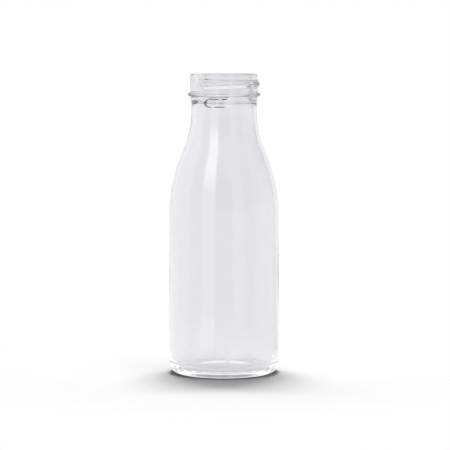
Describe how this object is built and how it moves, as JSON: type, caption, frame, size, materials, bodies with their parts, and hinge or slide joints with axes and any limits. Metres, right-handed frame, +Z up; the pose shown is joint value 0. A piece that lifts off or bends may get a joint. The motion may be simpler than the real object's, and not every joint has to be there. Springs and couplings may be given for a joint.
{
  "type": "glass bottle",
  "caption": "Clear, empty glass drink bottle with a long sloping shoulder, a wide screw-thread neck with a bead under the thread, and a hollow base. It has no cap or label.",
  "frame": {"origin": "middle of the base plane, on the bottle's axis", "axes": "+Z up along the bottle's axis; the thread starts at the left of the front, which faces -Y"},
  "size_m": [0.0576, 0.0576, 0.155],
  "materials": {
    "glass": "clear flint glass, fire-polished, smooth"
  },
  "bodies": {
    "root": {"glass_bottle": "glass"}
  },
  "joints": []
}
